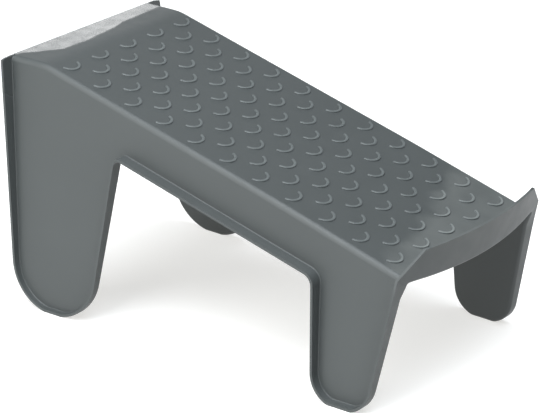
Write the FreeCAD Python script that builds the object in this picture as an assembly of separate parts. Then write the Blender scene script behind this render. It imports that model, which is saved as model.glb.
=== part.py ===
import FreeCAD, Part
import math
import os

# Sloping one-piece moulded plastic stool, split at its natural boundaries.
# Units are millimetres. +X runs towards the low end, +Z is up, Y is the width.
# Drawing coordinates (X, Z) have their zero where the first grip row crosses
# the centre line of the deck; SHIFT_X and SHIFT_Z move them to the row frame.

V = FreeCAD.Vector

# ---- driving dimensions -------------------------------------------------
WALL = 2.5             # skin thickness
SLOPE_DEG = 14.5       # deck slope, falling towards +X
HALF_W = 105.2         # half width over the deck's long edges
WALL_DRAFT = 0.0918    # outward flare of the side walls per mm of depth
RIM_HALF = 118.7       # half width over the flange rims at deck level
RIM_DRAFT = 0.0582     # outward flare of the rims per mm of depth
EDGE_R = 6.0           # outside radius along the deck's long edges
EDGE_DEPTH = 6.5       # depth of the long-edge strips below the deck
EDGE_Y = 98.5          # inner side of the long-edge strips
CREST_X = -17.0        # where the deck meets the level ledge
LEDGE_Z = 4.4          # top of the ledge
CREST_R = 60.0         # rounding between ledge and deck
SPLIT_LEDGE_X = -8.0   # ledge / deck boundary
BEND_A = 276.0         # slope distance where the deck steepens slightly
BEND_DEG = 1.0         # by this much
FLOOR_Z = -235.7       # floor level

TALL_REAR_X = -58.5    # tall leg, rear edge at ledge level
TALL_REAR_TAN = 0.1007
TALL_FRONT_X = 79.6    # tall leg, front edge at TALL_FRONT_Z
TALL_FRONT_Z = -68.2
TALL_FRONT_TAN = 0.1422
TALL_R = 48.9          # tall foot radius
TALL_BOTTOM = -236.5

SHORT_REAR_X = 304.6   # short leg, rear edge at SHORT_REAR_Z
SHORT_REAR_Z = -139.7
SHORT_REAR_TAN = 0.060
SHORT_FRONT_X = 393.9  # short leg, front edge at SHORT_FRONT_Z
SHORT_FRONT_Z = -98.8
SHORT_FRONT_TAN = 0.178
SHORT_R = 28.9         # short foot radius
SHORT_BOTTOM = -237.1

RAIL_DROP = 42.6       # vertical depth of the side rails
NOTCH_R = 6.0          # corner between tall leg and rail
HAUNCH_R = 11.0        # corner between rail and short leg

LIP_BOW = 16.3         # how far the lip bows out at the centre line
LIP_TOP_Z = -76.1      # upper rim of the lip
LIP_CORNER_R = 24.0    # upper corner radius of the lip
LIP_T = 2.6            # lip thickness along X
LIP_LOW = 5.0          # lower edge of the lip, below the deck plane

GRIP_PITCH = 19.03     # grip row spacing along the slope
GRIP_ROWS = 21
GRIP_Y = 42.0          # grip spacing across the deck
GRIP_R = 10.35         # centreline radius of one crescent
GRIP_BACK = 4.8        # its centre, uphill of the row line
GRIP_HALF_DEG = 72.0
GRIP_STROKE = 2.6
GRIP_H = 1.05
GRIP_EDGE = 0.6

SHIFT_X = -177.9
SHIFT_Z = -FLOOR_Z

TH = math.radians(SLOPE_DEG)
S, C = math.sin(TH), math.cos(TH)


# ---- helpers ------------------------------------------------------------
def rounded(points, y):
    """Closed wire in the XZ plane at y from (x, z, radius) vertices."""
    n = len(points)
    pieces, ends = [], []
    for i in range(n):
        x, z, r = points[i]
        px, pz, _ = points[i - 1]
        nx, nz, _ = points[(i + 1) % n]
        p = V(x, y, z)
        if r <= 0:
            ends.append((p, p, None))
            continue
        d1 = V(px - x, 0, pz - z).normalize()
        d2 = V(nx - x, 0, nz - z).normalize()
        ang = d1.getAngle(d2)
        tl = r / math.tan(ang / 2)
        bis = (d1 + d2).normalize()
        cen = p + bis * (r / math.sin(ang / 2))
        ends.append((p + d1 * tl, p + d2 * tl, cen - bis * r))
    for i in range(n):
        a, b, m = ends[i]
        if m is not None:
            pieces.append(Part.Arc(a, m, b).toShape())
        nxt = ends[(i + 1) % n][0]
        if (nxt - b).Length > 1e-4:
            pieces.append(Part.LineSegment(b, nxt).toShape())
    return Part.Wire(pieces)


def inset(points, t):
    """Move every edge of a polygon inwards by t; radii follow."""
    n = len(points)
    area = sum(points[i][0] * points[(i + 1) % n][1]
               - points[(i + 1) % n][0] * points[i][1] for i in range(n))
    sg = 1.0 if area > 0 else -1.0
    lines = []
    for i in range(n):
        x1, z1, _ = points[i]
        x2, z2, _ = points[(i + 1) % n]
        L = math.hypot(x2 - x1, z2 - z1)
        ux, uz = (x2 - x1) / L, (z2 - z1) / L
        nx, nz = -uz * sg, ux * sg
        lines.append((x1 + nx * t, z1 + nz * t, ux, uz))
    out = []
    for i in range(n):
        x1, z1, u1, w1 = lines[i - 1]
        x2, z2, u2, w2 = lines[i]
        det = u1 * (-w2) + u2 * w1
        k = ((x2 - x1) * (-w2) + u2 * (z2 - z1)) / det
        r = points[i][2]
        turn = (u1 * w2 - w1 * u2) * sg
        if r > 0:
            r = r - t if turn > 0 else r + t
        out.append((x1 + u1 * k, z1 + w1 * k, r))
    return out


def prism_y(points, y0, y1):
    return Part.Face(rounded(points, y0)).extrude(V(0, y1 - y0, 0))


def prism_slope(yh, a0=-160.0, a1=520.0):
    """Polygon in (Y, depth below the deck), run along the slope."""
    o = V(a0 * C, 0, -a0 * S)
    pts = [o + V(-h * S, y, -h * C) for y, h in yh]
    pts.append(pts[0])
    return Part.Face(Part.makePolygon(pts)).extrude(V((a1 - a0) * C, 0, -(a1 - a0) * S))


def deck_point(a):
    """Point and slope angle of the deck surface at slope distance a."""
    if a <= BEND_A:
        return a * C, -a * S, TH
    t = TH + math.radians(BEND_DEG)
    b = a - BEND_A
    return BEND_A * C + b * math.cos(t), -BEND_A * S - b * math.sin(t), t


def slope_slab(h0, h1):
    return prism_slope([(-260, h0), (260, h0), (260, h1), (-260, h1)])


def world_box(x0, x1, y0, y1, z0, z1):
    return Part.makeBox(x1 - x0, y1 - y0, z1 - z0, V(x0, y0, z0))


def one(shape, what):
    """Return the clean solids of a boolean result."""
    sols = [s for s in shape.Solids if s.Volume > 1.0]
    if not sols:
        raise ValueError("empty " + what)
    return sols[0] if len(sols) == 1 else Part.makeCompound(sols)


# ---- side outline -------------------------------------------------------
def rear_x(z):
    return TALL_REAR_X + TALL_REAR_TAN * (LEDGE_Z - z)


def tall_front_x(z):
    return TALL_FRONT_X - TALL_FRONT_TAN * (TALL_FRONT_Z - z)


def short_rear_x(z):
    return SHORT_REAR_X + SHORT_REAR_TAN * (SHORT_REAR_Z - z)


def short_front_x(z):
    return SHORT_FRONT_X + SHORT_FRONT_TAN * (z - SHORT_FRONT_Z)


def meet(fn):
    """Point where a near-upright edge line crosses the rail's lower edge."""
    x = fn(-90.0)
    for _ in range(60):
        z = -math.tan(TH) * x - RAIL_DROP
        x = fn(z)
    return x, -math.tan(TH) * x - RAIL_DROP


notch = meet(tall_front_x)
haunch = meet(short_rear_x)
TOP = 60.0
outline = [
    (rear_x(TOP), TOP, 0),
    (rear_x(TALL_BOTTOM), TALL_BOTTOM, TALL_R),
    (tall_front_x(TALL_BOTTOM), TALL_BOTTOM, TALL_R),
    (notch[0], notch[1], NOTCH_R),
    (haunch[0], haunch[1], HAUNCH_R),
    (short_rear_x(SHORT_BOTTOM), SHORT_BOTTOM, SHORT_R),
    (short_front_x(SHORT_BOTTOM), SHORT_BOTTOM, SHORT_R),
    (short_front_x(TOP), TOP, 0),
]
side_block = prism_y(outline, -200, 200)
inner_outline = inset(outline, WALL)
inner_outline[0] = (inner_outline[0][0], TOP + 1, 0)
inner_outline[-1] = (inner_outline[-1][0], TOP + 1, 0)
side_inner = prism_y(inner_outline, -201, 201)
above_floor = world_box(-400, 600, -260, 260, FLOOR_Z, 100)

# ---- skin with rounded long edges --------------------------------------


def body(off):
    """Solid under the deck and ledge, moved inwards by off."""
    zl = LEDGE_Z - off
    # the deck line and its slight bend, moved down by off along the normal
    xc = -(zl + off / C) / math.tan(TH)

    half = math.radians(BEND_DEG) / 2
    kx, kz, _ = deck_point(BEND_A)
    kx -= off * math.sin(TH + half) / math.cos(half)
    kz -= off * math.cos(TH + half) / math.cos(half)
    ex, ez, et = deck_point(540)
    ex, ez = ex - off * math.sin(et), ez - off * math.cos(et)
    prof = [(-300, zl), (xc, zl), (kx, kz), (ex, ez), (ex, -400), (-300, -400)]
    pts = [V(x, -240, z) for x, z in prof]
    pts.append(pts[0])
    blk = Part.Face(Part.makePolygon(pts)).extrude(V(0, 480, 0))
    hw = HALF_W - off * math.sqrt(1 + WALL_DRAFT ** 2)
    trap = prism_slope([(-(hw - WALL_DRAFT * 60), -60), (hw - WALL_DRAFT * 60, -60),
                        (hw + WALL_DRAFT * 420, 420), (-(hw + WALL_DRAFT * 420), 420)],
                       -380, 560)
    b = blk.common(trap)
    crest = [e for e in b.Edges
             if abs(e.CenterOfMass.x - xc) < 0.5 and abs(e.CenterOfMass.z - zl) < 0.5
             and abs(e.CenterOfMass.y) < 1]
    b = b.makeFillet(CREST_R - off, crest)
    long_edges = []
    for e in b.Edges:
        c = e.CenterOfMass
        if abs(c.y) < 60 or e.Length < 5:
            continue
        bb = e.BoundBox
        if bb.YLength > 60 or bb.ZMax < -200:
            continue
        # on the top skin: near the deck plane or the ledge
        h = -(c.x * S + c.z * C)
        if abs(h - off) < 8 or abs(c.z - zl) < 1.5:
            long_edges.append(e)
    return b.makeFillet(EDGE_R - off, long_edges)


skin = body(0.0).cut(body(WALL))

# ---- lip at the low end -------------------------------------------------
BOW = [(0, 1.0), (22, 0.965), (44, 0.86), (65, 0.70), (82, 0.52), (95, 0.34),
       (105, 0.18), (113, 0.06), (122, 0.0)]


def plan_curve(dx, z):
    """Plan curve of the low end at height z, moved by dx along X."""
    base = short_front_x(z) + dx
    pts = [V(base + LIP_BOW * k, -y, z) for y, k in reversed(BOW)]
    pts += [V(base + LIP_BOW * k, y, z) for y, k in BOW[1:]]
    bs = Part.BSplineCurve()
    bs.interpolate(pts)
    return bs


def lean(h):
    return V(SHORT_FRONT_TAN * h, 0, h)


Z0, ZH = -190.0, 300.0
outer_c = plan_curve(0, Z0)
inner_c = plan_curve(-LIP_T, Z0)
a0, a1 = outer_c.value(outer_c.FirstParameter), outer_c.value(outer_c.LastParameter)
b0, b1 = inner_c.value(inner_c.FirstParameter), inner_c.value(inner_c.LastParameter)
plate = Part.Face(Part.Wire([outer_c.toShape(), Part.LineSegment(a1, b1).toShape(),
                             inner_c.toShape(), Part.LineSegment(b0, a0).toShape()]))
plate = plate.extrude(lean(ZH))
far0, far1 = V(-400, b0.y, Z0), V(-400, b1.y, Z0)
inside_lip = Part.Face(Part.Wire([inner_c.toShape(), Part.LineSegment(b1, far1).toShape(),
                                  Part.LineSegment(far1, far0).toShape(),
                                  Part.LineSegment(far0, b0).toShape()]))
inside_lip = inside_lip.extrude(lean(ZH))


def front_profile():
    """Rim seen along X: flared flanks and rounded upper corners."""
    def flank(z):
        x = short_front_x(z)
        return RIM_HALF + RIM_DRAFT * -(x * S + z * C)
    pts2 = [(-flank(-180), -180, 0), (-flank(LIP_TOP_Z), LIP_TOP_Z, LIP_CORNER_R),
            (flank(LIP_TOP_Z), LIP_TOP_Z, LIP_CORNER_R), (flank(-180), -180, 0)]
    f = Part.Face(rounded(pts2, 0))
    # the wire is drawn in XZ; turn it into the YZ plane
    f.rotate(V(0, 0, 0), V(0, 0, 1), 90)
    f.translate(V(300, 0, 0))
    return f.extrude(V(200, 0, 0))


upper = slope_slab(-40.0, LIP_LOW)   # deck skin
lower = slope_slab(LIP_LOW, 420.0)   # everything below the lip
above_skin = slope_slab(-160.0, LIP_LOW)
lip = one(plate.common(front_profile()).common(above_skin), "lip")

rear_cut = prism_y([(rear_x(TOP), TOP, 0), (rear_x(-400), -400, 0), (600, -400, 0),
                    (600, TOP, 0)], -240, 240)
skin_top = skin.common(upper).common(inside_lip).common(rear_cut)
skin_low = skin.common(lower).common(side_block)
shell = skin_top.fuse(skin_low).removeSplitter()

# ---- zones --------------------------------------------------------------
mid = world_box(-400, 600, -EDGE_Y, EDGE_Y, -400, 100)
left_of = world_box(-400, 600, EDGE_Y, 260, -400, 100)
right_of = world_box(-400, 600, -260, -EDGE_Y, -400, 100)
edge_zone = slope_slab(-60, EDGE_DEPTH).fuse(
    world_box(-400, CREST_X, -260, 260, LEDGE_Z - EDGE_DEPTH, 100))
rear_zone = world_box(-400, SPLIT_LEDGE_X, -260, 260, -400, 100)
front_zone = world_box(SPLIT_LEDGE_X, 600, -260, 260, -400, 100)

nodes = {}
top_skin = shell.common(mid)
nodes["ledge"] = one(top_skin.common(rear_zone), "ledge")
nodes["deck"] = one(top_skin.common(front_zone), "deck")
nodes["lip"] = lip

sides = {"left": (1, left_of), "right": (-1, right_of)}
X_TALL = notch[0] + NOTCH_R + 2.5     # tall leg / rail boundary
X_SHORT = haunch[0] - HAUNCH_R - 2.0  # rail / short leg boundary
Z_TALL_FOOT = -185.0
Z_SHORT_FOOT = -203.0

for name, (sy, zone) in sides.items():
    half = shell.common(zone)
    nodes[name + "_long_edge"] = one(half.common(edge_zone), name + " edge")
    walls = half.cut(edge_zone).common(above_floor)
    nodes[name + "_tall_leg"] = one(walls.common(
        world_box(-400, X_TALL, -260, 260, -400, 100)), name + " tall")
    nodes[name + "_rail"] = one(walls.common(
        world_box(X_TALL, X_SHORT, -260, 260, -400, 100)), name + " rail")
    nodes[name + "_short_leg"] = one(walls.common(
        world_box(X_SHORT, 600, -260, 260, -400, 100)), name + " short")

    # flange band standing outwards from the free edge of the side wall
    out = prism_slope([(sy * (HALF_W - WALL_DRAFT * 60), -60),
                       (sy * (RIM_HALF - RIM_DRAFT * 60), -60),
                       (sy * (RIM_HALF + RIM_DRAFT * 420), 420),
                       (sy * (HALF_W + WALL_DRAFT * 420), 420)])
    band = side_block.cut(side_inner).common(out).common(above_floor)
    band = band.common(lower.fuse(world_box(-400, CREST_X - 12, -260, 260, -400, LEDGE_Z)))
    band = band.common(world_box(-400, 600, -260, 260, -400, LEDGE_Z))
    # the rounded skin edge must not be entered by the band
    band = band.cut(nodes[name + "_long_edge"])

    def piece(x0, x1, z0, z1, what):
        nodes[name + "_" + what] = one(
            band.common(world_box(x0, x1, -260, 260, z0, z1)), name + " " + what)

    xm_t = 0.5 * (rear_x(TALL_BOTTOM) + tall_front_x(TALL_BOTTOM))
    xm_s = 0.5 * (short_rear_x(SHORT_BOTTOM) + short_front_x(SHORT_BOTTOM))
    piece(-400, xm_t, Z_TALL_FOOT, 100, "tall_rear_flange")
    piece(-400, X_TALL, -400, Z_TALL_FOOT, "tall_foot_flange")
    piece(xm_t, X_TALL, Z_TALL_FOOT, 100, "tall_front_flange")
    piece(X_TALL, X_SHORT, -400, 100, "rail_flange")
    piece(X_SHORT, xm_s, Z_SHORT_FOOT, 100, "short_rear_flange")
    piece(X_SHORT, 600, -400, Z_SHORT_FOOT, "short_foot_flange")
    piece(xm_s, 600, Z_SHORT_FOOT, 100, "short_front_flange")

# ---- grip crescents -----------------------------------------------------


def crescent():
    """One crescent in local axes: +X downhill, +Z off the deck."""
    ro, ri = GRIP_R + GRIP_STROKE / 2, GRIP_R - GRIP_STROKE / 2
    a = math.radians(GRIP_HALF_DEG)

    def at(r, t):
        return V(r * math.cos(t), r * math.sin(t), 0)
    end1 = at(GRIP_R, a) + V(-math.sin(a), math.cos(a), 0) * GRIP_STROKE / 2
    end2 = at(GRIP_R, -a) + V(-math.sin(a), -math.cos(a), 0) * GRIP_STROKE / 2
    w = Part.Wire([Part.Arc(at(ro, -a), at(ro, 0), at(ro, a)).toShape(),
                   Part.Arc(at(ro, a), end1, at(ri, a)).toShape(),
                   Part.Arc(at(ri, a), at(ri, 0), at(ri, -a)).toShape(),
                   Part.Arc(at(ri, -a), end2, at(ro, -a)).toShape()])
    s = Part.Face(w).extrude(V(0, 0, GRIP_H))
    top = [e for e in s.Edges if abs(e.CenterOfMass.z - GRIP_H) < 1e-3]
    return s.makeFillet(GRIP_EDGE, top)


proto = crescent()
for i in range(GRIP_ROWS):
    cols = (-2, -1, 0, 1, 2) if i % 2 == 0 else (-1.5, -0.5, 0.5, 1.5)
    gx, gz, ga = deck_point(i * GRIP_PITCH)
    tilt = FreeCAD.Rotation(V(0, 1, 0), math.degrees(ga))
    gx, gz = gx - GRIP_BACK * math.cos(ga), gz + GRIP_BACK * math.sin(ga)
    solids = []
    for c in cols:
        s = proto.copy()
        s.Placement = FreeCAD.Placement(V(gx, c * GRIP_Y, gz), tilt)
        solids.append(s)
    nodes["grip_row_%02d" % (i + 1)] = Part.makeCompound(solids)

# ---- write --------------------------------------------------------------
os.makedirs("parts", exist_ok=True)
move = V(SHIFT_X, 0, SHIFT_Z)
for name, shape in nodes.items():
    s = shape.copy()
    s.translate(move)
    s.exportStep("parts/" + name + ".step")
    b = s.BoundBox
    print("%-28s solids %d valid %s vol %9.1f  x %.1f..%.1f y %.1f..%.1f z %.1f..%.1f" % (
        name, len(s.Solids), s.isValid(), s.Volume,
        b.XMin, b.XMax, b.YMin, b.YMax, b.ZMin, b.ZMax))
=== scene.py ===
import bpy
import bmesh
import math
import numpy as np
from mathutils import Matrix, Vector


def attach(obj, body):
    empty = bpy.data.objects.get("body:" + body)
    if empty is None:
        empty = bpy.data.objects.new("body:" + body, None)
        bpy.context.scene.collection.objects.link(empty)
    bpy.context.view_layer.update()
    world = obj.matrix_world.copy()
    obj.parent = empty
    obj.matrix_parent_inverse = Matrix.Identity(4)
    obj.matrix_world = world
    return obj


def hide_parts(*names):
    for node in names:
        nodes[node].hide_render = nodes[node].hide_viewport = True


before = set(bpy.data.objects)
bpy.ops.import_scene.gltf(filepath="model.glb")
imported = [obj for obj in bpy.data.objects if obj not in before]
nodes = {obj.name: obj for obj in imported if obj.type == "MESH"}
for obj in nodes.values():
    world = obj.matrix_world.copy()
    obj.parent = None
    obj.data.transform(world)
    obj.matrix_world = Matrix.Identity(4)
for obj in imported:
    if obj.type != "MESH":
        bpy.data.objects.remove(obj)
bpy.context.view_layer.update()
scene = bpy.context.scene

# ------------------------------------------------------------------ studio
WORLD = 0.16
KEY = (-105.0, 34.0, 97.0, (2.2, 3.0))   # azimuth, elevation, power, size
TOP = (-55.0, 74.0, 140.0, (2.4, 2.4))
GLARE = (128.5, 18.5, 7.6, (1.8, 0.38))
FLOOR_GLOW = 0.64
BASE = (0.0465, 0.0515, 0.0515)

# ------------------------------------------------------------------ sizes
# millimetres, in the drawing frame of the CAD (its X and Z zero on the deck)
SHIFT_X, SHIFT_Z = -177.9, 235.7
T = 2.5
TH = math.radians(14.5)
S, C = math.sin(TH), math.cos(TH)
TAN = math.tan(TH)
HALF_W, WALL_DRAFT = 105.2, 0.0918
RIM_HALF, RIM_DRAFT = 118.7, 0.0582
EDGE_R = 6.0
TURN = math.pi / 2 - math.atan(WALL_DRAFT)
EDGE_TL = EDGE_R * math.tan(TURN / 2)
LEDGE_Z, CREST_R = 4.4, 60.0
BEND_A, BEND_T, BEND_L = 276.0, math.radians(1.0), 25.0
BEND_R = BEND_L / math.tan(BEND_T / 2)
FLOOR_Z = -235.7
RAIL_DROP = 42.6
LIP_BOW, LIP_TOP_Z, LIP_CORNER_R, LIP_T = 16.3, -76.1, 24.0, 2.6
ROOT_R, LIP_ROOT_R = 1.0, 1.2
BOW = [(0, 1.0), (22, 0.965), (44, 0.86), (65, 0.70), (82, 0.52), (95, 0.34),
       (105, 0.18), (113, 0.06), (122, 0.0), (140, 0.0)]
GRIP_PITCH, GRIP_ROWS, GRIP_Y, GRIP_R = 19.03, 21, 42.0, 11.8


def rear_x(z):
    return -58.5 + 0.1007 * (LEDGE_Z - z)


def tall_front_x(z):
    return 79.6 - 0.1422 * (-68.2 - z)


def short_rear_x(z):
    return 304.6 + 0.060 * (-139.7 - z)


def short_front_x(z):
    return 393.9 + 0.178 * (z + 98.8)


def depth(x, z):
    return -(x * S + z * C)


def wall_y(x, z):
    return HALF_W + WALL_DRAFT * depth(x, z)


def rim_y(x, z):
    return RIM_HALF + RIM_DRAFT * depth(x, z)


def bow(y):
    """Smooth bow of the low end, 1 on the centre line, 0 past the corners."""
    y = abs(y)
    k = 0
    while k < len(BOW) - 2 and y > BOW[k + 1][0]:
        k += 1
    (x0, v0), (x1, v1) = BOW[k], BOW[k + 1]

    def slope(i):
        if i <= 0 or i >= len(BOW) - 1:
            return 0.0
        return (BOW[i + 1][1] - BOW[i - 1][1]) / (BOW[i + 1][0] - BOW[i - 1][0])
    h = x1 - x0
    t = min(max((y - x0) / h, 0), 1)
    return ((2 * t**3 - 3 * t**2 + 1) * v0 + (t**3 - 2 * t**2 + t) * h * slope(k)
            + (-2 * t**3 + 3 * t**2) * v1 + (t**3 - t**2) * h * slope(k + 1))


def lip_in_x(y, z):
    return short_front_x(z) + LIP_BOW * bow(y) - LIP_T


def top(x):
    """Height and slope angle of the upper skin at x."""
    xc = -LEDGE_Z / TAN
    tl = CREST_R * math.tan(TH / 2)
    xa, xb = xc - tl, xc + tl * C
    if x <= xa:
        return LEDGE_Z, 0.0
    if x >= xb:
        # a slight, smoothed bend low on the deck
        x0 = (BEND_A - BEND_L) * C
        if x <= x0:
            return -TAN * x, TH
        ox, oz = x0 - BEND_R * S, -x0 * TAN - BEND_R * C
        x1 = ox + BEND_R * math.sin(TH + BEND_T)
        if x <= x1:
            b = math.asin((x - ox) / BEND_R)
            return oz + BEND_R * math.cos(b), b
        return oz + BEND_R * math.cos(TH + BEND_T) - (x - x1) * math.tan(TH + BEND_T), TH + BEND_T
    s = (x - xa) / CREST_R
    return LEDGE_Z - CREST_R * (1 - math.cos(math.asin(s))), math.asin(s)


# ------------------------------------------------------------- side outline
def meet(fn):
    x = fn(-90.0)
    for _ in range(60):
        x = fn(-TAN * x - RAIL_DROP)
    return x, -TAN * x - RAIL_DROP


def outline_samples():
    """Points and inward normals along the free edge of a side wall, from the
    tall end round both legs to the low end."""
    n1, n2 = meet(tall_front_x), meet(short_rear_x)
    pts = [(rear_x(60), 60, 0), (rear_x(-236.5), -236.5, 48.9),
           (tall_front_x(-236.5), -236.5, 48.9), (n1[0], n1[1], 6.0),
           (n2[0], n2[1], 11.0), (short_rear_x(-237.1), -237.1, 28.9),
           (short_front_x(-237.1), -237.1, 28.9), (short_front_x(60), 60, 0)]
    path = []
    n = len(pts)
    for i in range(n):
        x, z, r = pts[i]
        p = Vector((x, z))
        if r == 0:
            path.append((p, p, None, 0))
            continue
        d1 = (Vector(pts[i - 1][:2]) - p).normalized()
        d2 = (Vector(pts[(i + 1) % n][:2]) - p).normalized()
        ang = d1.angle(d2)
        tl = r / math.tan(ang / 2)
        cen = p + (d1 + d2).normalized() * (r / math.sin(ang / 2))
        path.append((p + d1 * tl, p + d2 * tl, cen, r))
    out = []

    def left(a, b):
        d = (b - a).normalized()
        return Vector((-d.y, d.x))
    for i in range(n):
        a, b, cen, r = path[i]
        if cen is not None:
            v1, v2 = a - cen, b - cen
            a1, a2 = math.atan2(v1.y, v1.x), math.atan2(v2.y, v2.x)
            da = (a2 - a1 + math.pi) % (2 * math.pi) - math.pi
            k = max(4, int(abs(da) / math.radians(5)))
            for j in range(k + 1):
                t = a1 + da * j / k
                q = cen + Vector((math.cos(t), math.sin(t))) * r
                nrm = (cen - q).normalized() * (1 if da > 0 else -1)
                out.append((q, nrm))
        if i < n - 1:
            nb = path[i + 1][0]
            nrm = left(b, nb)
            L = (nb - b).length
            k = max(1, int(L / 10))
            for j in range(0 if cen is None else 1, k):
                out.append((b + (nb - b) * j / k, nrm))
    return out


# ----------------------------------------------------------------- mesh kit
class Sheet:
    def __init__(self):
        self.bm = bmesh.new()
        self.cache = {}

    def v(self, p):
        key = tuple(round(c * 500) for c in p)
        if key not in self.cache:
            self.cache[key] = self.bm.verts.new(
                ((p[0] + SHIFT_X) / 1000, p[1] / 1000, (p[2] + SHIFT_Z) / 1000))
        return self.cache[key]

    def face(self, pts):
        vs = []
        for p in pts:
            q = self.v(p)
            if q not in vs:
                vs.append(q)
        if len(vs) >= 3:
            try:
                self.bm.faces.new(vs)
            except ValueError:
                pass

    def grid(self, rows):
        for r0, r1 in zip(rows, rows[1:]):
            for i in range(len(r0) - 1):
                self.face([r0[i], r0[i + 1], r1[i + 1], r1[i]])


def fillet(P, back, up, r, steps=4):
    """Points from the skin, round a fillet of radius r at P, to the upright."""
    ang = back.angle(up)
    tl = r / math.tan(ang / 2)
    if r < 1e-3:
        return [P] * (steps + 1)
    cen = P + (back + up).normalized() * (r / math.sin(ang / 2))
    a, b = (P + back * tl) - cen, (P + up * tl) - cen
    tot = a.angle(b)
    out = []
    for j in range(steps + 1):
        t = tot * j / steps
        out.append(cen + a * (math.sin(tot - t) / math.sin(tot)) + b * (math.sin(t) / math.sin(tot)))
    return out


ARC_N = 8
COLS = 22
E_BACK = Vector((-math.cos(TH + BEND_T), 0, math.sin(TH + BEND_T)))


def shell_sheet():
    sh = Sheet()
    # --- the columns: across the top and round both long edges, +Y half first
    cols = []          # (kind, value)
    for j in range(COLS + 1):
        cols.append(("d", -1 + 2 * j / COLS))
    arcs = [("a", TURN * (k + 1) / ARC_N) for k in range(ARC_N)]

    def section(x, col, side=1):
        """Point of the skin for station x and column."""
        z, beta = top(x)
        yk = wall_y(x, z)
        if col[0] == "d":
            return Vector((x, col[1] * (yk - EDGE_TL), z))
        f = col[1]
        dn = EDGE_R * (1 - math.cos(f))
        return Vector((x - math.sin(beta) * dn, side * (yk - EDGE_TL + EDGE_R * math.sin(f)),
                       z - math.cos(beta) * dn))

    def front_root(col, side=1):
        """Where a column of the top skin meets the inside of the lip."""
        lo, hi = 340.0, 440.0
        for _ in range(50):
            x = (lo + hi) / 2
            P = section(x, col, side)
            if P.x < lip_in_x(P.y, P.z):
                lo = x
            else:
                hi = x
        return section(lo, col, side)

    yc, zc = rim_y(short_front_x(-106), -106) - LIP_CORNER_R, LIP_TOP_Z - LIP_CORNER_R

    def lip_rim(P):
        ya = abs(P.y)
        sg = 1 if P.y >= 0 else -1
        if ya <= yc:
            yq, zq = ya, LIP_TOP_Z
        else:
            d = Vector((ya - yc, P.z - zc)).normalized()
            if d.y < 0:
                d = Vector((1, 0))
            yq, zq = yc + d.x * LIP_CORNER_R, zc + d.y * LIP_CORNER_R
        return Vector((lip_in_x(yq, zq), sg * yq, zq))

    def front_strip(P, r):
        Q = lip_rim(P)
        pts = fillet(P, E_BACK, (Q - P).normalized(), r, 5)
        last = pts[-1]
        for j in range(1, 5):
            k = j / 4
            y = last.y + (Q.y - last.y) * k
            z = last.z + (Q.z - last.z) * k
            x = last.x + (Q.x - last.x) * k
            pts.append(Vector((x, y, z)))
        return pts

    def front_r(col):
        if col[0] == "d":
            return LIP_ROOT_R
        return LIP_ROOT_R + (ROOT_R - LIP_ROOT_R) * col[1] / TURN

    # rear end: inner face of the rear flange
    def rear_strip(col, side):
        z, _ = top(-56)
        yk = wall_y(-56, LEDGE_Z)
        f = col[1]
        y0, z0 = yk - EDGE_TL, LEDGE_Z - EDGE_R
        dy, dz = math.sin(f), math.cos(f)
        P = Vector((0, side * (y0 + EDGE_R * dy), z0 + EDGE_R * dz))
        P.x = rear_x(P.z) + T
        ymax = rim_y(rear_x(0), 0)
        rc = 3.0
        k1 = (ymax - y0) / dy if dy > 1e-6 else 1e9
        k2 = EDGE_R / dz if dz > 1e-6 else 1e9
        k = min(k1, k2)
        yq, zq = y0 + dy * k, z0 + dz * k
        # round the outer top corner
        cy, cz = ymax - rc, LEDGE_Z - rc
        if yq > cy and zq > cz:
            d = Vector((yq - cy, zq - cz))
            if d.length > 1e-6:
                d = d.normalized() * rc
                yq, zq = cy + d.x, cz + d.y
        Q = Vector((rear_x(zq) + T, side * yq, zq))
        w = (Q - P).length
        r = min(ROOT_R, w * 0.45)
        if w < 1e-3:
            return [P] * 7
        pts = fillet(P, Vector((1, 0, 0)), (Q - P).normalized(), r, 4)
        return pts + [pts[-1] + (Q - pts[-1]) * 0.5, Q]

    # --- stations
    base = list(np.linspace(-56.0, -28.0, 6)) + list(np.linspace(-25.0, -9.6, 9)) + \
        list(np.linspace(0, 300, 31)) + list(np.linspace(312, 385.0, 9))
    XR0, XF0 = -56.0, 385.0

    def column(col, side=1):
        P = front_root(col, side)
        Q = lip_rim(P)
        fs = front_strip(P, front_r(col))
        tan_pt = fs[0]
        h = 0.0 if col[0] == "d" else EDGE_R * (1 - math.cos(col[1]))
        # station x whose section passes through the tangent point
        xf = tan_pt.x + math.sin(TH + BEND_T) * h
        if col[0] == "d":
            xr = rear_x(LEDGE_Z) + T
            rs = None
        else:
            rs = rear_strip(col, side)
            xr = rs[0].x
        pts = []
        for x in base:
            wr = max(0.0, 1 - (x - XR0) / 14.0)
            wf = max(0.0, (x - 300.0) / (XF0 - 300.0))
            pts.append(section(x + wr * (xr - XR0) + wf * (xf - XF0), col, side))
        pts[-1] = tan_pt
        if rs is not None:
            pts[0] = rs[0]
        return pts, fs, rs

    deck_cols = [column(c) for c in cols]
    sh.grid([c[0] for c in deck_cols])
    sh.grid([c[1] for c in deck_cols])
    # free rear edge of the ledge
    rear_row = [Vector((rear_x(LEDGE_Z), c[0][0].y, LEDGE_Z)) for c in deck_cols]
    sh.grid([[c[0][0] for c in deck_cols], rear_row])

    outline = [(p, n) for p, n in outline_samples()]
    for side in (1, -1):
        edge = deck_cols[-1] if side == 1 else deck_cols[0]
        seq = [edge] + [column(a, side) for a in arcs]
        sh.grid([c[0] for c in seq])
        sh.grid([c[1] for c in seq])
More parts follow.
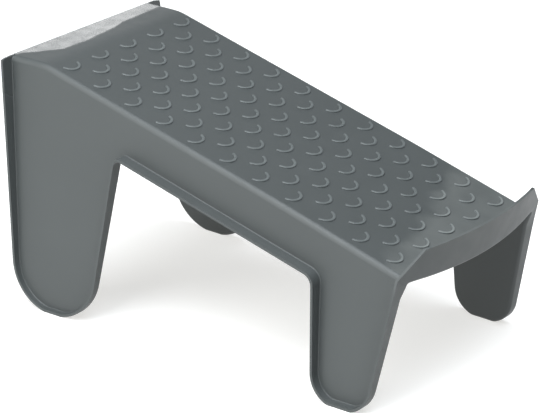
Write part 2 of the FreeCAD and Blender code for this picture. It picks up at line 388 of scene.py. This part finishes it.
        # rear flange round the corner
        rs0 = [seq[0][0][0]] * 7
        sh.grid([rs0] + [c[2] for c in seq[1:]])
        wall_top = seq[-1][0]
        strips = []
        for p, n in outline:
            if p.y > -9 and p.x < 0:
                continue
            if p.y > -113 and p.x > 370:
                continue
            px, pz = p.x, max(p.y, FLOOR_Z)
            tn = T if p.x < 370 else LIP_T / math.sqrt(1 + 0.178**2)
            qx, qz = px + n.x * tn, pz + n.y * tn
            P = Vector((qx, side * wall_y(qx, qz), qz))
            back = Vector((n.x, 0, n.y))
            k = side * WALL_DRAFT * -(n.x * S + n.y * C)
            back = Vector((n.x, k, n.y)).normalized()
            up = Vector((0, side, 0))
            pts = fillet(P, back, up, ROOT_R, 4)
            Q = Vector((qx, side * rim_y(px, pz), qz))
            pts += [pts[-1] + (Q - pts[-1]) * 0.5, Q]
            strips.append(pts)
        rear_last = seq[-1][2]
        front_last = seq[-1][1]
        # bring the front strip to the same number of points as the others
        fl = front_last[:1] + [front_last[1], front_last[3], front_last[4], front_last[5]] \
            + [front_last[7], front_last[9]]
        full = [rear_last] + strips
        sh.grid(full)
        # join to the lip strip, whose points are denser
        a, b = strips[-1], front_last
        ia = [0, 1, 2, 3, 4, 5, 6]
        ib = [0, 1, 3, 4, 5, 7, 9]
        for k in range(6):
            lo, hi = ib[k], ib[k + 1]
            sh.face([a[k], a[k + 1]] + [b[m] for m in range(hi, lo - 1, -1)])
        # the plane wall as one polygon
        poly = list(wall_top) + [s[0] for s in reversed(strips)]
        sh.face(poly)
    bm = sh.bm
    bmesh.ops.recalc_face_normals(bm, faces=bm.faces)
    up = sum(f.normal.z * f.calc_area() for f in bm.faces)
    if up < 0:
        bmesh.ops.reverse_faces(bm, faces=bm.faces)
    return bm


def new_object(name, bm, smooth=True):
    me = bpy.data.meshes.new(name)
    bm.to_mesh(me)
    bm.free()
    if smooth:
        for p in me.polygons:
            p.use_smooth = True
    ob = bpy.data.objects.new(name, me)
    scene.collection.objects.link(ob)
    return ob


shell = new_object("moulded_shell", shell_sheet())
md = shell.modifiers.new("skin", "SOLIDIFY")
md.thickness = T / 1000
md.offset = -1
md.use_even_offset = True
md.use_quality_normals = True
md = shell.modifiers.new("rims", "BEVEL")
md.limit_method = "ANGLE"
md.angle_limit = math.radians(55)
md.width = 0.0007
md.segments = 3
md.use_clamp_overlap = True
md.harden_normals = False
md = shell.modifiers.new("flats", "WEIGHTED_NORMAL")
md.mode = "FACE_AREA"
md.weight = 60
md.keep_sharp = True

# ---------------------------------------------------------------- materials


def plastic(name, base, rough, grain=1.0, ledge=False, spec=0.5):
    """Satin moulded plastic: slight colour variation, fine grain, light scuffs, and a painted
    reflection that lightens the low end of the deck.
    """
    m = bpy.data.materials.new(name)
    m.use_nodes = True
    nt = m.node_tree
    nt.nodes.clear()
    out = nt.nodes.new("ShaderNodeOutputMaterial")
    b = nt.nodes.new("ShaderNodeBsdfPrincipled")
    nt.links.new(b.outputs["BSDF"], out.inputs["Surface"])
    co = nt.nodes.new("ShaderNodeTexCoord")
    mp = nt.nodes.new("ShaderNodeMapping")
    nt.links.new(co.outputs["Object"], mp.inputs["Vector"])

    def noise(scale, detail, rough_=0.5):
        n = nt.nodes.new("ShaderNodeTexNoise")
        n.inputs["Scale"].default_value = scale
        n.inputs["Detail"].default_value = detail
        n.inputs["Roughness"].default_value = rough_
        nt.links.new(mp.outputs["Vector"], n.inputs["Vector"])
        return n.outputs["Fac"]

    def ramp(src, lo, hi, p0=0.3, p1=0.7):
        r = nt.nodes.new("ShaderNodeMapRange")
        r.inputs["From Min"].default_value = p0
        r.inputs["From Max"].default_value = p1
        r.inputs["To Min"].default_value = lo
        r.inputs["To Max"].default_value = hi
        nt.links.new(src, r.inputs["Value"])
        return r.outputs["Result"]

    cloud = noise(9.0, 3)            # flow marks, decimetres
    fine = noise(900.0, 2)           # moulded grain
    mid = noise(70.0, 4)             # handling marks
    mix = nt.nodes.new("ShaderNodeMix")
    mix.data_type = "RGBA"
    mix.inputs["A"].default_value = (*[c * 0.97 for c in base], 1)
    mix.inputs["B"].default_value = (*[c * 1.03 for c in base], 1)
    nt.links.new(ramp(cloud, 0, 1), mix.inputs["Factor"])
    mix2 = nt.nodes.new("ShaderNodeMix")
    mix2.data_type = "RGBA"
    mix2.inputs["B"].default_value = (*[c * 1.08 for c in base], 1)
    nt.links.new(mix.outputs["Result"], mix2.inputs["A"])
    nt.links.new(ramp(mid, 0, 0.35, 0.55, 0.8), mix2.inputs["Factor"])

    def math_(op, a, b_):
        n = nt.nodes.new("ShaderNodeMath")
        n.operation = op
        for k, v in enumerate((a, b_)):
            if isinstance(v, (int, float)):
                n.inputs[k].default_value = v
            else:
                nt.links.new(v, n.inputs[k])
        return n.outputs[0]

    # painted reflection: a pale zone on the low end of the deck, next to the lip, standing in for
    # light bounced off the lip
    sep = nt.nodes.new("ShaderNodeSeparateXYZ")
    nt.links.new(mp.outputs["Vector"], sep.inputs[0])
    dot = nt.nodes.new("ShaderNodeVectorMath")
    dot.operation = "DOT_PRODUCT"
    nt.links.new(co.outputs["Normal"], dot.inputs[0])
    dot.inputs[1].default_value = (S, 0.0, C)
    facing = ramp(dot.outputs["Value"], 0.0, 1.0, 0.975, 0.990)
    along = math_("ADD", sep.outputs[0], math_("MULTIPLY", sep.outputs[1], 0.28))
    along = math_("ADD", along, ramp(noise(30.0, 3), -0.010, 0.010))
    lip_glow_mask = math_("MULTIPLY", facing, ramp(along, 0.0, 1.0, 0.160, 0.176))
    lip_glow_mask = math_("MULTIPLY", lip_glow_mask, ramp(noise(26.0, 2), 0.55, 1.0, 0.35, 0.6))
    mix3 = nt.nodes.new("ShaderNodeMix")
    mix3.data_type = "RGBA"
    # lighter, warmer colour of the painted reflection
    mix3.inputs["B"].default_value = (base[0] * 1.62, base[1] * 1.57, base[2] * 1.53, 1)
    nt.links.new(mix2.outputs["Result"], mix3.inputs["A"])
    nt.links.new(lip_glow_mask, mix3.inputs["Factor"])
    nt.links.new(mix3.outputs["Result"], b.inputs["Base Color"])

    rr = math_("ADD", ramp(mid, rough - 0.03, rough + 0.04), ramp(cloud, -0.015, 0.015))
    if ledge:
        # the level ledge comes off a polished part of the mould; its border wanders
        wander = ramp(noise(16.0, 2), -0.004, 0.004)
        ends = ramp(sep.outputs[1], 0.020, 0.0, -0.094, -0.060)
        far = ramp(sep.outputs[1], 0.0, 0.010, 0.0, 0.080)
        edge = math_("ADD", math_("ADD", sep.outputs[0], wander), math_("ADD", ends, far))
        gloss = ramp(edge, 1.0, 0.0, -0.2125, -0.2085)
        rr = math_("SUBTRACT", rr, math_("MULTIPLY", gloss, 0.33))
    nt.links.new(rr, b.inputs["Roughness"])
    bump = nt.nodes.new("ShaderNodeBump")
    bump.inputs["Strength"].default_value = 0.12 * grain
    bump.inputs["Distance"].default_value = 0.0002
    nt.links.new(fine, bump.inputs["Height"])
    bump2 = nt.nodes.new("ShaderNodeBump")
    bump2.inputs["Strength"].default_value = 0.10 * grain
    bump2.inputs["Distance"].default_value = 0.0006
    nt.links.new(mid, bump2.inputs["Height"])
    nt.links.new(bump.outputs["Normal"], bump2.inputs["Normal"])
    nt.links.new(bump2.outputs["Normal"], b.inputs["Normal"])
    b.inputs["IOR"].default_value = 1.49
    b.inputs["Specular IOR Level"].default_value = spec
    return m


mat_shell = plastic("moulded_plastic", BASE, 0.47, 1.0, True, 0.36)
# grip material: the shell colour made 1.8 times lighter, a painted highlight standing in for light
# catching the raised crescents
mat_grip_painted_highlight = plastic("grip_plastic", [c * 1.8 for c in BASE], 0.30)
shell.data.materials.append(mat_shell)

shell_nodes = [n for n in nodes if not n.startswith("grip_")]
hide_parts(*shell_nodes)
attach(shell, "root")
for n, ob in nodes.items():
    if n.startswith("grip_"):
        for i in range(max(1, len(ob.material_slots))):
            if ob.material_slots:
                ob.material_slots[i].material = mat_grip_painted_highlight
            else:
                ob.data.materials.append(mat_grip_painted_highlight)

# ------------------------------------------------------------------- floor
bm = bmesh.new()
rings = [0.0, 0.6, 1.5, 4.0, 12.0]
prev = None
for r in rings:
    if r == 0:
        prev = [bm.verts.new((0, 0, 0))]
        continue
    ring = [bm.verts.new((r * math.cos(a), r * math.sin(a), 0))
            for a in [2 * math.pi * k / 48 for k in range(48)]]
    for k in range(48):
        if len(prev) == 1:
            bm.faces.new([prev[0], ring[k], ring[(k + 1) % 48]])
        else:
            bm.faces.new([prev[k], ring[k], ring[(k + 1) % 48], prev[(k + 1) % 48]])
    prev = ring
floor = new_object("floor", bm, False)
floor.location.z = -0.0005
fm = bpy.data.materials.new("floor_paper")
fm.use_nodes = True
fb = fm.node_tree.nodes["Principled BSDF"]
fn = fm.node_tree.nodes.new("ShaderNodeTexNoise")
fn.inputs["Scale"].default_value = 3.0
fmix = fm.node_tree.nodes.new("ShaderNodeMix")
fmix.data_type = "RGBA"
fmix.inputs["A"].default_value = (0.47, 0.47, 0.47, 1)
fmix.inputs["B"].default_value = (0.51, 0.51, 0.51, 1)
fm.node_tree.links.new(fn.outputs["Fac"], fmix.inputs["Factor"])
fm.node_tree.links.new(fmix.outputs["Result"], fb.inputs["Base Color"])
fb.inputs["Roughness"].default_value = 0.9
fb.inputs["Emission Color"].default_value = (1, 0.99, 0.965, 1)
fb.inputs["Emission Strength"].default_value = FLOOR_GLOW
fb.inputs["Specular IOR Level"].default_value = 0.1
floor.data.materials.append(fm)

# ------------------------------------------------------------------ lights
def direction(az, el):
    a, e = math.radians(az), math.radians(el)
    return Vector((math.cos(e) * math.cos(a), math.cos(e) * math.sin(a), math.sin(e)))


def area(name, az, el, dist, size, power, color=(1, 1, 1), aim=(0, 0, 0.12)):
    """Soft box at a direction from the stool, facing it."""
    l = bpy.data.lights.new(name, "AREA")
    l.shape = "RECTANGLE"
    l.size, l.size_y = size
    l.energy = power
    l.color = color
    o = bpy.data.objects.new(name, l)
    o.location = Vector(aim) + direction(az, el) * dist
    o.rotation_euler = (-direction(az, el)).to_track_quat("-Z", "Y").to_euler()
    scene.collection.objects.link(o)
    return o


world = bpy.data.worlds.new("studio")
scene.world = world
world.use_nodes = True
wn = world.node_tree
wn.nodes.clear()
wo = wn.nodes.new("ShaderNodeOutputWorld")
bg = wn.nodes.new("ShaderNodeBackground")
bg.inputs["Color"].default_value = (0.95, 0.985, 1.02, 1)
# dim dome with a pale horizon that meets the far floor
wc = wn.nodes.new("ShaderNodeTexCoord")
ws = wn.nodes.new("ShaderNodeSeparateXYZ")
wn.links.new(wc.outputs["Generated"], ws.inputs[0])
wm = wn.nodes.new("ShaderNodeMapRange")
wm.inputs["From Min"].default_value = 0.05
wm.inputs["From Max"].default_value = 0.14
wm.inputs["To Min"].default_value = 0.74
wm.inputs["To Max"].default_value = WORLD
wn.links.new(ws.outputs[2], wm.inputs["Value"])
wn.links.new(wm.outputs["Result"], bg.inputs["Strength"])
wn.links.new(bg.outputs[0], wo.inputs[0])

area("key", KEY[0], KEY[1], 2.6, KEY[3], KEY[2], (0.98, 1.0, 0.99))
area("top", TOP[0], TOP[1], 2.6, TOP[3], TOP[2], (0.93, 0.98, 1.03))
area("back_strip", GLARE[0], GLARE[1], 4.0, GLARE[3], GLARE[2], (1, 1, 1), (-0.22, 0, 0.24))

# ------------------------------------------------------------------ camera
cam = bpy.data.cameras.new("camera")
cam.sensor_width = 36.0
cam.lens = 36.0 * 2592.5 / 540.0
cam.clip_end = 50
co = bpy.data.objects.new("camera", cam)
right = Vector((0.8084787, 0.5882258, 0.0187927))
up = Vector((-0.2378662, 0.2973922, 0.9246504))
back = Vector((0.5383139, -0.7520301, 0.3803543))
CAM_POS = (1493.245 + SHIFT_X, -1846.44, 808.539 + SHIFT_Z)
mw = Matrix.Identity(4)
for i in range(3):
    mw[i][0], mw[i][1], mw[i][2] = right[i], up[i], back[i]
    mw[i][3] = CAM_POS[i] / 1000
co.matrix_world = mw
scene.collection.objects.link(co)
scene.camera = co
bpy.context.scene.camera = co
scene.view_settings.view_transform = "Standard"
scene.view_settings.look = "None"
